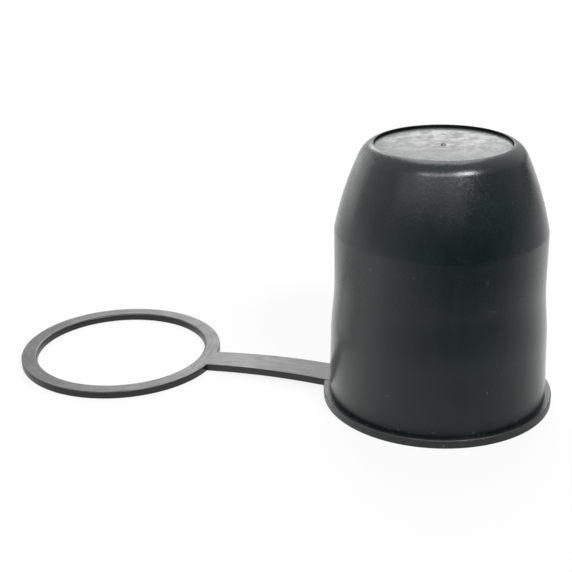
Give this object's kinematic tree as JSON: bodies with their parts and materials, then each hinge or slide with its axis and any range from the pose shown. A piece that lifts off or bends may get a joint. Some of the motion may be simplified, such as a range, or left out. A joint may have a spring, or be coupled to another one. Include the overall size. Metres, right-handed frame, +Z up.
{
  "type": "tow ball cover",
  "caption": "Domed black plastic cap that pushes over a tow ball, with a flange round its mouth and a flat strap ending in a retaining ring that stays on the ball's neck.",
  "frame": {"origin": "on the cap's axis, in the plane of its mouth", "axes": "+Z up along the cap's axis to its crown; the strap and ring run along -X; Y across"},
  "size_m": [0.1522, 0.0604, 0.0697],
  "materials": {
    "black_plastic": "satin black, fine moulded grain"
  },
  "bodies": {
    "root": {"tow_ball_cover": "black_plastic"}
  },
  "joints": []
}
